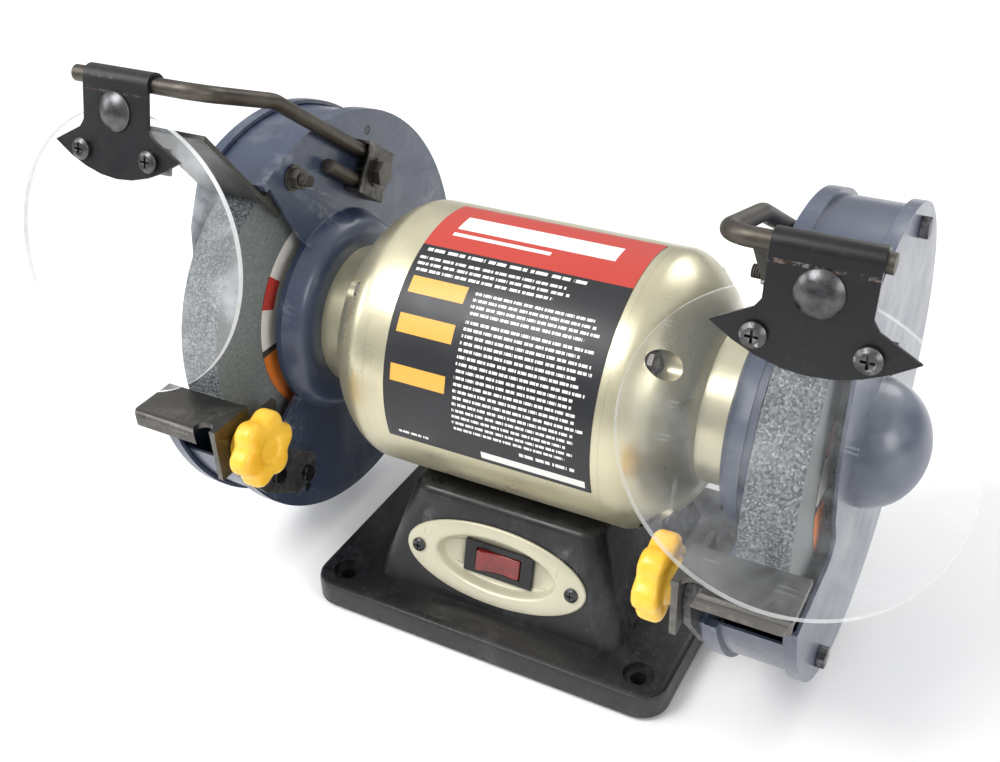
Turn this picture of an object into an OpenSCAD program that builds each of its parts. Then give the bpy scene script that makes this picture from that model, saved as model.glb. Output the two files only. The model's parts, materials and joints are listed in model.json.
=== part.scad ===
// Bench grinder with two 6 inch wheels on one motor shaft.
// The shaft lies along X and the operator stands on the -Y side.
// The origin is on the bench, in the middle of the base.

/* [Base] */
// Width of the base plate along the shaft
base_w = 171; // [160:1:180]
// Depth of the base plate, front to back
base_d = 142; // [134:1:150]
// Thickness of the base plate
plate_t = 12; // [10:1:14]
// How far the rubber feet stand below the casting
foot_h = 2; // [1.5:0.5:3]
// Bench bolt holes, centre to centre along the shaft
hole_w = 144; // [140:1:148]
// Bench bolt holes, centre to centre front to back
hole_d = 118; // [112:1:120]
// Diameter of a bench bolt hole
hole_dia = 7; // [6:0.5:8]
// Wall of the base casting
base_wall = 4; // [3.5:0.5:5]

/* [Motor] */
// Height of the shaft over the bench
shaft_h = 114; // [113:0.5:116]
// Outer radius of the motor shell
motor_r = 58.4; // [57:0.1:59]
// Half length of the rolled motor shell
shell_half = 52; // [50:1:54]
// Distance from the middle to the end of a bell neck
neck_end = 92; // [91:0.5:93]
// Radius of a bell neck
neck_r = 31.5; // [30:0.5:33]

/* [Wheels] */
// Radius of a grinding wheel, for 6 inch wheels
wheel_r = 76.2; // [70:0.1:76.2]
// Thickness of a grinding wheel
wheel_t = 19.05; // [16:0.05:19.05]
// Distance from the middle to the inner face of a wheel
wheel_in = 112; // [111.5:0.5:112.5]
// Diameter of the shaft inside a wheel, for a 1/2 inch arbor
arbor_dia = 12.7; // [12.7:0.1:13]

/* [Guards] */
// Radius of the guard rims
guard_r = 93.5; // [92:0.5:95]
// Distance from the middle to the outer face of a guard's inner plate
guard_in = 103.2; // [103:0.1:104]
// Distance from the middle to the outer face of a guard cover
guard_out = 138.5; // [138:0.5:140]
// Sheet thickness of the guards
guard_t = 2; // [1.5:0.1:2.2]
// Height of the dome over the arbor nut
dome_h = 22; // [20:1:24]

/* [Eye shields] */
// Diameter of a clear shield disc
lens_dia = 111; // [106:1:112]
// Thickness of a shield disc
lens_t = 2.5; // [2:0.5:3]
// Diameter of the bent shield rods
rod_dia = 6.35; // [6:0.05:7]
// Slope of the left rod as it leaves its clamp
left_rod_angle = 37.3; // [28:0.1:44]
// Slope of the right rod as it leaves its clamp
right_rod_angle = 30.7; // [28:0.1:44]
// Forward tilt of the left shield
left_shield_tilt = 15; // [10:1:30]
// Forward tilt of the right shield
right_shield_tilt = 10; // [10:1:30]
// Distance from the middle to the middle of the left shield bracket
left_shield_x = 136; // [130:1:137]
// Distance from the middle to the middle of the right shield bracket
right_shield_x = 131; // [130:1:137]

/* [Tool rests] */
// Height of the rest tables over the bench
rest_h = 109; // [106:0.5:110]
// Width of a rest table along the shaft
rest_w = 42; // [38:1:44]
// Depth of a rest table
rest_d = 21; // [19:1:22]
// Height of the clamp knobs over the bench
knob_h = 95; // [94:0.5:96]

/* [Switch] */
// Width of the oval bezel
bezel_w = 87; // [80:1:92]
// Height of the oval bezel along the sloping face
bezel_h = 36.6; // [34:0.1:38]
// Depth of the dish in the bezel
dish_d = 5.5; // [5:0.1:6]

/* [Hidden] */

$fn = 96;
eps = 0.01;

// Base casting
corner_r = 12;
edge_r = 3;
base_z = foot_h;
plate_top = base_z + plate_t;
ped_top = base_z + 60;
ped_foot_x = 60;
ped_foot_y = 54.5;
ped_top_x = 44.5;
ped_top_y = 40.5;
ped_r = 9;
slope = atan((ped_foot_y - ped_top_y) / (ped_top - plate_top));
face_mid_z = base_z + 33.5;
face_mid_y = -ped_y(face_mid_z);
bottom_plate_t = 1.5;
foot_r = 10;
base_screw_x = 46;
base_screw_y = 53;
mount_bolt_x = 25;
inlet_z = base_z + 30;
inlet_y = ped_y(inlet_z);
inlet_r = 7;

// Switch
bezel_proud = 1.5;
dish_w = 58;
dish_h = 25;
dish_step = 1.3;
cup_wall = 1.1;
cup_gap = 0.2;
floor_z = bezel_proud - dish_d;
screw_x = 37.2;
switch_w = 33;
switch_h = 15;
rocker_w = 21;
rocker_h = 9;
rocker_gap = 0.4;
rocker_tilt = 7;
rocker_depth = 0.6;

// Motor and bearings
shell_t = 2.4;
bell_t = 4;
dome_start = 56;
dome_len = 24;
dome_power = 1.5;
bearing_r = 17.5;
bearing_bore = 7.5;
bearing_in = 78;
bearing_t = 11;
bearing_mid = bearing_in + bearing_t / 2;
race_r = (bearing_r + bearing_bore) / 2;
ball_r = 2.45;
ball_n = 8;
stator_half = 26;
stator_bore = 30;
air_gap = 0.4;
bolt_ring = 50.5;
label_in = -42;
label_out = 49;
label_t = 0.25;
label_low = -15;
label_high = 104;

// Wheels and arbor
wheel_out = wheel_in + wheel_t;
label_disc_t = 0.4;
label_disc_r = 47.8;
flange_r = 25;
bush_r = 16;
arbor_r = arbor_dia / 2;
shaft_end = 149;
nut_af = 19;
nut_t = 9.5;

// Guards
guard_y = 5.2;
guard_z = shaft_h - 4.8;
band_r = 91.3;
band_t = 1.2;
band_end = 136.3;
guard_lip = 6.3;
cover_lip = 5;
hub_r = 46;
hub_hole_r = 14;

// Shield rods, from the clamp bolt to the run along X
clamp_y = 26.5;
clamp_z = shaft_h + 58;
clamp_bolt_r = 2.95;
rod_r = rod_dia / 2;
rod_plane = guard_in - rod_r - 0.6;
hook_r = 6.5;
stub_len = 31;
rise_len = 77;
reach_len = 43;
rod_bend = 15;
bend_r = 10;
crest_r = 24;
bend_lap = 0.3;
bend_swell = 0.02;
left_rod_end = left_shield_x + 23;
right_rod_end = right_shield_x + 18;
roll_len = 32;
roll_t = 1.5;
roll_gap = 0.05;
roll_r = rod_r + roll_gap + roll_t;
plate_front = rod_r + roll_gap;
lens_drop = 65.4;
lens_shift = -2.5;
screw_span = 16.7;
screw_drop = 27.2;
rivet_drop = 11.2;
wing_half = 31;
wing_drop = 24.6;
neck_half = 16;
neck_drop = 17.9;
belly_drop = 36.4;
backing_t = 1.2;

// Tool rests
rest_t = 2.5;
rest_in = 97.4;
rest_back = -78;
leg_drop = 24;
leg_len = 39;
lip_r = 4;
knob_y = -84;
knob_t = 15;
support_t = 2.9;
support_in = guard_in - support_t - 0.02;
support_screws = [[-64, shaft_h - 51], [-45, shaft_h - 63]];
stud_r = 4;
slot_r = 4.3;
leg_in = support_in - rest_t - 0.1;

// Spark deflectors
spark_angle = 53;
spark_y = -39;
spark_z = shaft_h + 69;
spark_len = 46;
spark_t = 2;
spark_tab_t = 1.5;
spark_in = guard_in + guard_t + 0.5;
spark_out = 136.6;
spark_stud_u = -6.6;
spark_stud_v = 16.3;
spark_stud_y = spark_y - spark_stud_u * cos(spark_angle) + spark_stud_v * sin(spark_angle);
spark_stud_z = spark_z + spark_stud_u * sin(spark_angle) + spark_stud_v * cos(spark_angle);

// Mirrors its children for the left side
module on_side(side) {
    mirror([side < 0 ? 1 : 0, 0, 0]) children();
}

// A cylinder along +X from x0 to x1
module xcyl(x0, x1, r, y = 0, z = shaft_h) {
    translate([x0, y, z]) rotate([0, 90, 0]) cylinder(h = x1 - x0, r = r);
}

// A ring along +X from x0 to x1
module xring(x0, x1, r_out, r_in, y = 0, z = shaft_h) {
    difference() {
        xcyl(x0, x1, r_out, y, z);
        xcyl(x0 - 1, x1 + 1, r_in, y, z);
    }
}

// Revolves an outline of [x, radius] points about the shaft axis
module xrev(points) {
    translate([0, 0, shaft_h]) rotate([0, 90, 0]) rotate_extrude()
        polygon([for (p = points) [p[1], p[0]]]);
}

// A flat outline in [y, z] made into a sheet from x0 to x1
module xsheet(x0, x1) {
    translate([x0, 0, 0]) rotate([90, 0, 90]) linear_extrude(x1 - x0) children();
}

// A hexagon head along +X, af across the flats
module xhex(x0, x1, af, y = 0, z = shaft_h) {
    translate([x0, y, z]) rotate([0, 90, 0])
        cylinder(h = x1 - x0, r = af / sqrt(3), $fn = 6);
}

// A rounded rectangle, w by d, about the origin
module round_rect(w, d, r) {
    hull()
        for (sx = [-1, 1], sy = [-1, 1])
            translate([sx * (w / 2 - r), sy * (d / 2 - r)]) circle(r, $fn = 32);
}

// A rounded pad whose upper edge is rounded by e
module soft_pad(w, d, h, r, e) {
    hull()
        for (sx = [-1, 1], sy = [-1, 1])
            translate([sx * (w / 2 - r), sy * (d / 2 - r), 0]) {
                cylinder(h = h - e, r = r, $fn = 32);
                translate([0, 0, h - e]) cylinder(h = e * 0.6, r = r - e * 0.2, $fn = 32);
                cylinder(h = h, r = r - e, $fn = 32);
            }
}

// Half width and half depth of the tapering pedestal at a height z
function ped_x(z) = ped_foot_x - (z - plate_top) * (ped_foot_x - ped_top_x) / (ped_top - plate_top);
function ped_y(z) = ped_foot_y - (z - plate_top) * tan(slope);

// The pedestal between two levels, drawn in by inset, with a rounded top edge
module pedestal(z0, z1, inset) {
    hull()
        for (sx = [-1, 1], sy = [-1, 1], p = [[z0, 0], [z1 - 3, 0], [z1 - 1, 1], [z1, 3]])
            translate([sx * (ped_x(p[0]) - inset - ped_r), sy * (ped_y(p[0]) - inset - ped_r), p[0]])
                cylinder(h = 2 * eps, r = ped_r - p[1], $fn = 32);
}

// Places its children on the sloping front face, +Z outwards, +Y up the face
module on_face() {
    translate([0, face_mid_y, face_mid_z]) rotate([90 - slope, 0, 0]) children();
}

// An upright elliptical disc
module ellipse_disc(w, h, t) {
    linear_extrude(t) polygon([for (a = [0:6:354]) [w / 2 * cos(a), h / 2 * sin(a)]]);
}

module base_hole_places() {
    for (sx = [-1, 1], sy = [-1, 1])
        translate([sx * hole_w / 2, sy * hole_d / 2, 0]) children();
}

module base_screw_places() {
    for (sx = [-1, 1], sy = [-1, 1])
        translate([sx * base_screw_x, sy * base_screw_y, 0]) children();
}

module mount_bolt_places() {
    for (sx = [-1, 1]) translate([sx * mount_bolt_x, 0, 0]) children();
}

// Base casting, open below, with the cradle that carries the motor
module base_housing() {
    color([0.14, 0.14, 0.15]) difference() {
        union() {
            translate([0, 0, base_z]) soft_pad(base_w, base_d, plate_t, corner_r, edge_r);
            pedestal(plate_top - 1, ped_top, 0);
        }
        translate([0, 0, base_z - eps]) linear_extrude(plate_t - base_wall)
            round_rect(2 * ped_foot_x - 8, 2 * ped_foot_y - 8, ped_r);
        translate([0, 0, base_z - eps]) linear_extrude(bottom_plate_t + 2 * eps)
            round_rect(2 * ped_foot_x + 8, 2 * ped_foot_y + 6, ped_r);
        pedestal(plate_top - 5, ped_top - 9, base_wall);
        xcyl(-100, 100, motor_r + 0.02);
        base_hole_places() {
            translate([0, 0, base_z - 1]) cylinder(h = plate_t + 2, r = hole_dia / 2);
            translate([0, 0, plate_top - 2.5]) cylinder(h = 3, r = hole_dia / 2 + 3.2);
        }
        on_face() {
            translate([0, 0, -12]) ellipse_disc(dish_w + 2 * (cup_wall + cup_gap),
                dish_h + 2 * (cup_wall + cup_gap), 20);
            for (s = [-1, 1]) translate([s * screw_x, -0.5, -9]) cylinder(h = 12, r = 1.5);
        }
        base_screw_places() translate([0, 0, base_z - 1]) cylinder(h = 7.5, r = 1.6);
        mount_bolt_places() cylinder(h = ped_top, r = 2.6);
        translate([0, 0, ped_top - 20]) cylinder(h = 20, r = 6);
        translate([0, inlet_y - 8, inlet_z]) rotate([-90, 0, 0]) cylinder(h = 16, r = inlet_r);
    }
}

// Thin steel sheet that closes the casting from below
module base_bottom_plate() {
    color([0.5, 0.5, 0.52]) difference() {
        translate([0, 0, base_z + 0.02]) linear_extrude(bottom_plate_t - 0.04)
            round_rect(2 * ped_foot_x + 7.6, 2 * ped_foot_y + 5.6, ped_r);
        base_screw_places() cylinder(h = 12, r = 1.8);
    }
}

// Four rubber feet under the corners of the plate, round the bolt holes
module rubber_feet() {
    color([0.08, 0.08, 0.08]) base_hole_places() difference() {
        cylinder(h = foot_h, r = foot_r);
        translate([0, 0, -1]) cylinder(h = foot_h + 2, r = hole_dia / 2);
    }
}

// Pan head screw along +Z with its head at the top
module pan_screw(len, r, head_r, head_h) {
    cylinder(h = len, r = r);
    translate([0, 0, len]) difference() {
        union() {
            cylinder(h = head_h * 0.55, r = head_r);
            translate([0, 0, head_h * 0.55])
                cylinder(h = head_h * 0.45, r1 = head_r, r2 = head_r * 0.66);
        }
        for (a = [0, 90]) rotate(a)
            translate([-head_r * 0.5, -head_r * 0.11, head_h * 0.35])
                cube([head_r, head_r * 0.22, head_h]);
    }
}

module base_screws() {
    color([0.6, 0.6, 0.6]) base_screw_places()
        translate([0, 0, base_z + 5.8]) rotate([180, 0, 0]) pan_screw(5.8, 1.55, 3.2, 1.4);
}

// Two bolts from inside the pedestal into the motor shell
module motor_mount_bolts() {
    color([0.6, 0.6, 0.6]) mount_bolt_places() {
        translate([0, 0, ped_top - 16]) cylinder(h = 11.9, r = 2.5);
        translate([0, 0, ped_top - 13.05]) cylinder(h = 4, r = 8 / sqrt(3), $fn = 6);
    }
}

// Oval switch bezel: a flat ring with a deep dish, whose wall steps in to the floor
module switch_bezel() {
    color([0.80, 0.77, 0.62]) on_face() difference() {
        union() {
            translate([0, 0, 0.04]) ellipse_disc(bezel_w, bezel_h, bezel_proud * 0.5);
            translate([0, 0, bezel_proud * 0.5])
                ellipse_disc(bezel_w - 1.4, bezel_h - 1.4, bezel_proud * 0.5);
            translate([0, 0, floor_z - cup_wall])
                ellipse_disc(dish_w + 2 * cup_wall, dish_h + 2 * cup_wall, cup_wall - floor_z + 0.1);
        }
        for (i = [0:2]) translate([0, 0, floor_z * (i + 1) / 3])
            ellipse_disc(dish_w - 2 * dish_step * i, dish_h - 2 * dish_step * i, 2 + bezel_proud
                - floor_z * (i + 1) / 3);
        translate([0, 0, floor_z - 3]) linear_extrude(6)
            square([switch_w - 3.9, switch_h - 0.9], true);
        for (s = [-1, 1]) translate([s * screw_x, -0.5, -3]) cylinder(h = 6, r = 1.7);
    }
}

module bezel_screws() {
    color([0.1, 0.1, 0.1]) on_face()
        for (s = [-1, 1]) translate([s * screw_x, -0.5, -7]) pan_screw(8.52, 1.45, 3.1, 1.7);
}

// Rocker switch body, snapped into the floor of the bezel
module switch_housing() {
    color([0.07, 0.07, 0.07]) on_face() translate([0, 0, floor_z]) difference() {
        union() {
            translate([0, 0, -1.9]) linear_extrude(3.2)
                square([switch_w - 4.2, switch_h - 1.2], true);
            translate([0, 0, 0.02]) linear_extrude(1.4) square([switch_w, switch_h], true);
            translate([0, 0, -18.6]) linear_extrude(18)
                square([switch_w - 5, switch_h - 2], true);
        }
        translate([0, 0, -7.6]) linear_extrude(12)
            square([rocker_w + 2 * rocker_gap, rocker_h + 2 * rocker_gap], true);
    }
}

// Rocker that tips about a pin across its middle
module switch_rocker() {
    color([0.55, 0.12, 0.12]) on_face() translate([0, 0, floor_z - rocker_depth])
        rotate([0, rocker_tilt, 0]) difference() {
            intersection() {
                translate([0, 0, -4.4]) linear_extrude(8)
                    square([rocker_w - 0.6, rocker_h], true);
                rotate([90, 0, 0]) translate([0, 0, -rocker_h / 2])
                    cylinder(h = rocker_h, r = rocker_w / 2 + 0.02);
            }
            translate([0, 0, 27.6]) rotate([90, 0, 0])
                cylinder(h = rocker_h + 2, r = 25.2, center = true);
        }
}

// Run capacitor clipped inside the pedestal
module run_capacitor() {
    color([0.75, 0.75, 0.78]) {
        translate([-22, 20, base_z + 24]) rotate([0, 90, 0]) cylinder(h = 44, r = 13);
        for (s = [-1, 1]) translate([22 - eps, 20 + s * 5, base_z + 24])
            rotate([0, 90, 0]) cylinder(h = 6, r = 1.5);
    }
}

// Rubber bushing in the rear wall, where the mains lead goes in
module cord_inlet_bushing() {
    color([0.1, 0.1, 0.1]) translate([0, inlet_y, inlet_z]) rotate([-90, 0, 0]) difference() {
        union() {
            translate([0, 0, -7]) cylinder(h = 10, r = inlet_r - 0.05);
            translate([0, 0, 2.4]) cylinder(h = 3, r = inlet_r + 2);
        }
        translate([0, 0, -8]) cylinder(h = 16, r = 4);
    }
}

// Rolled steel shell of the motor
module motor_shell() {
    color([0.78, 0.76, 0.66]) difference() {
        xring(-shell_half, shell_half, motor_r, motor_r - shell_t);
        mount_bolt_places() cylinder(h = shaft_h, r = 2.6);
        cylinder(h = shaft_h, r = 6);
    }
}

// Radius of the end bell at a distance t along its dome, 0 to 1
function dome_radius(t) =
    neck_r + (motor_r - neck_r) * pow(1 - pow(t, dome_power), 1 / dome_power);

// End bell: a domed cup, a neck, and a seat for the bearing
module end_bell(side) {
    steps = 12;
    outer = [for (i = [0:steps]) [dome_start + dome_len * sin(90 * i / steps),
        dome_radius(sin(90 * i / steps))]];
    inner = [for (i = [steps:-1:0]) [dome_start - bell_t + dome_len * sin(90 * i / steps),
        max(dome_radius(sin(90 * i / steps)) - bell_t, bearing_r + 4)]];
    color([0.80, 0.78, 0.68]) on_side(side) difference() {
        union() {
            xrev(concat([[shell_half + 0.05, motor_r]], outer, [[neck_end, neck_r]],
                [[neck_end, bearing_r + 4], [bearing_in - 4, bearing_r + 4]], inner,
                [[shell_half + 0.05, motor_r - bell_t]]));
            xring(shell_half - 5, shell_half + 2, motor_r - shell_t - 0.05, motor_r - bell_t - 2);
            xring(bearing_in - 4, bearing_in + bearing_t + 0.1, bearing_r + 5, bearing_r + 0.02);
            xring(bearing_in + bearing_t, neck_end, bearing_r + 5, 9);
        }
        for (a = [45:90:315]) rotate_about_shaft(a) translate([0, bolt_ring, 0]) {
            xcyl(shell_half + 9, 90, 5.5, 0, 0);
            xcyl(20, 90, 2.6, 0, 0);
        }
        for (a = [0:90:270]) rotate_about_shaft(a) xcyl(neck_end - 9, neck_end + 1, 2, 27, 0);
    }
}

// Turns its children about the shaft axis, whose origin it moves to the shaft
module rotate_about_shaft(a) {
    translate([0, 0, shaft_h]) rotate([a, 0, 0]) children();
}

module left_end_bell() { end_bell(-1); }
module right_end_bell() { end_bell(1); }

// Laminated stator with its slots
module stator_core() {
    slots = 24;
    color([0.45, 0.45, 0.47]) difference() {
        xring(-stator_half, stator_half, motor_r - shell_t - 0.02, stator_bore + air_gap);
        for (i = [0:slots - 1]) rotate_about_shaft(i * 360 / slots)
            translate([-stator_half - 1, -1.6, stator_bore - 1])
                cube([2 * stator_half + 2, 3.2, 14]);
        for (a = [45:90:315]) rotate_about_shaft(a)
            xcyl(-40, 40, 2.8, bolt_ring, 0);
    }
}

// End turns of the windings, each side of the stator
module stator_windings() {
    color([0.72, 0.42, 0.18]) for (s = [-1, 1]) on_side(s)
        xrev([[26.1, 32], [40, 32], [44, 35], [44, 40], [40, 44], [26.1, 44]]);
}

// Thin label wrapped round the front of the shell
module motor_label() {
    color([0.08, 0.08, 0.08]) translate([label_in, 0, shaft_h]) rotate([0, 90, 0])
        rotate([0, 0, 270 - label_high]) rotate_extrude(angle = label_high - label_low)
        translate([motor_r + 0.02, 0]) square([label_t, label_out - label_in]);
}

// Four long bolts that hold the two bells against the shell
module through_bolts() {
    color([0.55, 0.55, 0.55])
        for (a = [45:90:315]) rotate_about_shaft(a) {
            xcyl(-66, 66, 2.4, bolt_ring, 0);
            xhex(shell_half + 9.02, shell_half + 13, 8, bolt_ring, 0);
            xhex(-shell_half - 13, -shell_half - 9.02, 8, bolt_ring, 0);
        }
}

module bearing_outer_rings() {
    color([0.75, 0.75, 0.77]) for (s = [-1, 1]) on_side(s)
        xrev([[bearing_in, bearing_r], [bearing_in, race_r + 2.2],
            [bearing_mid - 2, race_r + 2.2], [bearing_mid, race_r + 3.0],
            [bearing_mid + 2, race_r + 2.2], [bearing_in + bearing_t, race_r + 2.2],
            [bearing_in + bearing_t, bearing_r]]);
}

module bearing_inner_rings() {
    color([0.75, 0.75, 0.77]) for (s = [-1, 1]) on_side(s)
        xrev([[bearing_in, bearing_bore + 0.01], [bearing_in, race_r - 2.2],
            [bearing_mid - 2, race_r - 2.2], [bearing_mid, race_r - 3.0],
            [bearing_mid + 2, race_r - 2.2], [bearing_in + bearing_t, race_r - 2.2],
            [bearing_in + bearing_t, bearing_bore + 0.01]]);
}

// Balls of both bearings with the ring that spaces them
module bearing_ball_cages() {
    color([0.8, 0.8, 0.82]) for (s = [-1, 1]) on_side(s) {
        for (i = [0:ball_n - 1]) rotate_about_shaft(i * 360 / ball_n)
            translate([bearing_mid, race_r, 0]) sphere(ball_r, $fn = 32);
        xring(bearing_mid - 1, bearing_mid + 1, race_r + 0.8, race_r - 0.8);
    }
}

// Stepped shaft with threaded ends
module arbor_shaft() {
    color([0.7, 0.7, 0.72]) {
        xcyl(-70, 70, 9);
        for (s = [-1, 1]) on_side(s) {
            xcyl(70 - eps, 107, bearing_bore);
            xcyl(107 - eps, shaft_end - 1, arbor_r);
            xcyl(shaft_end - 1 - eps, shaft_end, arbor_r - 0.8);
        }
    }
}

// Rotor stack with its cast end rings
module rotor_core() {
    color([0.5, 0.5, 0.52]) {
        xring(-stator_half, stator_half, stator_bore, 9.01);
        for (s = [-1, 1]) on_side(s) xring(stator_half - eps, stator_half + 8, 28, 18);
    }
}

// Grinding wheel with a recessed bush hole
module wheel(side) {
    color([0.32, 0.34, 0.35]) on_side(side) xring(wheel_in, wheel_out, wheel_r, bush_r);
}

module left_wheel() { wheel(-1); }
module right_wheel() { wheel(1); }

// Plastic bushes that fit the wheels to the arbor
module wheel_bushings() {
    color([0.85, 0.85, 0.85]) for (s = [-1, 1]) on_side(s)
        xring(wheel_in, wheel_out, bush_r - 0.01, arbor_r + 0.05);
}

// Paper discs on both faces of each wheel
module wheel_labels() {
    color([0.9, 0.9, 0.88]) for (s = [-1, 1]) on_side(s) {
        xring(wheel_in - label_disc_t, wheel_in - 0.01, label_disc_r, arbor_r + 0.1);
        xring(wheel_out + 0.01, wheel_out + label_disc_t, label_disc_r, arbor_r + 0.1);
    }
}

// Steel clamping flanges, two for each wheel
module wheel_flanges() {
    color([0.6, 0.6, 0.62]) for (s = [-1, 1]) on_side(s) {
        xrev([[107.02, arbor_r + 0.02], [wheel_in - label_disc_t - 0.01, arbor_r + 0.02],
            [wheel_in - label_disc_t - 0.01, flange_r], [110, flange_r], [107.02, 14]]);
        xrev([[wheel_out + label_disc_t + 0.01, arbor_r + 0.02],
            [wheel_out + label_disc_t + 0.01, flange_r],
            [wheel_out + 1.6, flange_r], [135.4, 14], [135.4, arbor_r + 0.02]]);
    }
}

module arbor_nuts() {
    color([0.62, 0.62, 0.64]) for (s = [-1, 1]) on_side(s) difference() {
        xhex(135.42, 135.42 + nut_t, nut_af);
        xcyl(130, 150, arbor_r + 0.02);
    }
}

// Outline of the front opening of a guard's inner plate, in [y, z]
module inner_opening() {
    difference() {
        polygon([[-39, shaft_h + 79], [-130, shaft_h + 120], [-130, shaft_h - 41],
            [-50, shaft_h - 31], [-30, shaft_h - 18], [-12, shaft_h + 10],
            [-18, shaft_h + 38]]);
        translate([0, shaft_h]) circle(hub_r - 4);
    }
}

// Outline of the front opening of a guard cover, in [y, z]
module outer_opening() {
    polygon([[-35, shaft_h + 84], [-49, shaft_h + 56], [-52, shaft_h + 36],
        [-52, shaft_h + 16], [-47, shaft_h - 4], [-41, shaft_h - 17],
        [-45, shaft_h - 22], [-51, shaft_h - 23.5], [-130, shaft_h - 25],
        [-130, shaft_h + 120]]);
}

// Outline that removes the band across the front of a guard, in [y, z]
module band_opening() {
    polygon([[0, guard_z], [-49, guard_z + 99.5], [-110, guard_z + 120],
        [-130, guard_z - 33], [-60, guard_z - 30]]);
}

module guard_mount_places() {
    for (a = [0:90:270]) rotate_about_shaft(a) translate([0, 27, 0]) children();
}

function polar(r, a) = [guard_y + r * cos(a), guard_z + r * sin(a)];
function cover_screw_at(i) = polar(guard_r - 9.5, [236, 340, 70][i]);

// Guard: inner plate with a raised hub, and the band round the wheel
module guard(side) {
    color([0.25, 0.30, 0.38]) on_side(side) difference() {
        union() {
            difference() {
                xcyl(guard_in, guard_in + guard_t, guard_r, guard_y, guard_z);
                xsheet(guard_in - 1, guard_in + guard_t + 1) inner_opening();
                xcyl(guard_in - 1, guard_in + guard_t + 1, hub_r - 2);
            }
            xrev([[neck_end + 0.02, hub_hole_r], [neck_end + 0.02, 36], [93.2, 40],
                [96, 43.6], [99.5, hub_r - 0.8], [guard_in - 0.6, hub_r + 0.6],
                [guard_in, hub_r + 1.6], [guard_in + guard_t, hub_r + 1.6],
                [guard_in + guard_t, hub_r - 0.4], [100.5, 43.6], [97, 41.5],
                [95, 38.4], [94, 35], [94, hub_hole_r]]);
            difference() {
                union() {
                    xring(guard_in + eps, band_end, band_r, band_r - band_t, guard_y, guard_z);
                    xring(guard_in + eps, guard_in + guard_lip, guard_r, band_r - 0.3,
                        guard_y, guard_z);
                }
                xsheet(guard_in - 1, band_end + 1) band_opening();
            }
        }
        guard_mount_places() xcyl(80, 96, 2.2, 0, 0);
        for (i = [0:2]) xcyl(100, 110, 2.15, cover_screw_at(i)[0], cover_screw_at(i)[1]);
        xcyl(100, 110, 3, clamp_y, clamp_z);
        for (p = support_screws) xcyl(100, 110, 2, p[0], p[1]);
        xcyl(100, 110, 2.6, spark_stud_y, spark_stud_z);
        xsheet(guard_in - 1, guard_in + guard_t + eps) intersection() {
            translate([0, shaft_h]) difference() {
                circle(hub_r + 5);
                circle(hub_r);
            }
            inner_opening();
        }
    }
}

module left_guard() { guard(-1); }
module right_guard() { guard(1); }

// Cover over the outer side of a wheel, with a lip round the band and a dome
module guard_cover(side) {
    steps = 10;
    base_r = 25.5;
    t = 1.5;
    dome_out = [for (i = [0:steps]) [guard_out + dome_h * sin(90 * i / steps),
        max(base_r * cos(90 * i / steps), 0)]];
    dome_in = [for (i = [steps:-1:0]) [guard_out - t + dome_h * sin(90 * i / steps),
        max((base_r - t) * cos(90 * i / steps), 0)]];
    color([0.27, 0.32, 0.40]) on_side(side) difference() {
        union() {
            difference() {
                union() {
                    xcyl(guard_out - t, guard_out, guard_r, guard_y, guard_z);
                    xring(guard_out - cover_lip, guard_out - eps, guard_r, band_r + 0.4,
                        guard_y, guard_z);
                }
                xsheet(guard_out - 10, guard_out + 1) outer_opening();
                xcyl(guard_out - t - 1, guard_out + 1, base_r - 0.3);
            }
            xrev(concat(dome_out, dome_in));
        }
        for (i = [0:2]) xcyl(130, 150, 2.2, cover_screw_at(i)[0], cover_screw_at(i)[1]);
    }
}

module left_guard_cover() { guard_cover(-1); }
module right_guard_cover() { guard_cover(1); }

// Long screws that pull each cover onto its guard
module guard_cover_screws() {
    color([0.2, 0.2, 0.22]) for (s = [-1, 1], i = [0:2]) on_side(s) {
        p = cover_screw_at(i);
        xcyl(guard_in + 0.1, guard_out + 0.02, 2.1, p[0], p[1]);
        xhex(guard_out + 0.02, guard_out + 3.5, 8, p[0], p[1]);
    }
}

// Screws that hold each guard on the neck of its bell
module guard_mount_screws() {
    color([0.6, 0.6, 0.6]) for (s = [-1, 1]) on_side(s) guard_mount_places() {
        xcyl(neck_end - 8.5, 94.02, 1.95, 0, 0);
        xcyl(94.02, 97, 3.6, 0, 0);
    }
}

// Places a flat outline whose +X runs up the deflector plate, in [y, z]
module at_spark() {
    translate([spark_y, spark_z]) rotate(180 - spark_angle) children();
}

// Spark deflector: a sloping plate over the wheel and a slotted tab inside the guard
module spark_deflector(side) {
    color([0.42, 0.42, 0.40]) on_side(side) {
        xsheet(spark_in, spark_out) at_spark()
            translate([0, -spark_t]) square([spark_len, spark_t]);
        xsheet(spark_in, spark_in + spark_tab_t) difference() {
            intersection() {
                at_spark() translate([-13, -21]) square([24, 21]);
                translate([guard_y, guard_z]) circle(87);
            }
            at_spark() for (u = [spark_stud_u - 2.5, spark_stud_u + 1.5])
                translate([u, -spark_stud_v]) circle(2.7);
            at_spark() translate([spark_stud_u - 2.5, -spark_stud_v - 2.7])
                square([4, 5.4]);
        }
    }
}

module left_spark_deflector() { spark_deflector(-1); }
module right_spark_deflector() { spark_deflector(1); }

// Bolts that hold the deflector tabs, with their heads inside the guards
module deflector_bolts() {
    color([0.35, 0.34, 0.32]) for (s = [-1, 1]) on_side(s) {
        xcyl(guard_in - 9.5, spark_in + spark_tab_t + 0.1, 2.5, spark_stud_y, spark_stud_z);
        xcyl(spark_in + spark_tab_t + 0.05, spark_in + spark_tab_t + 2, 5,
            spark_stud_y, spark_stud_z);
    }
}

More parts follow.
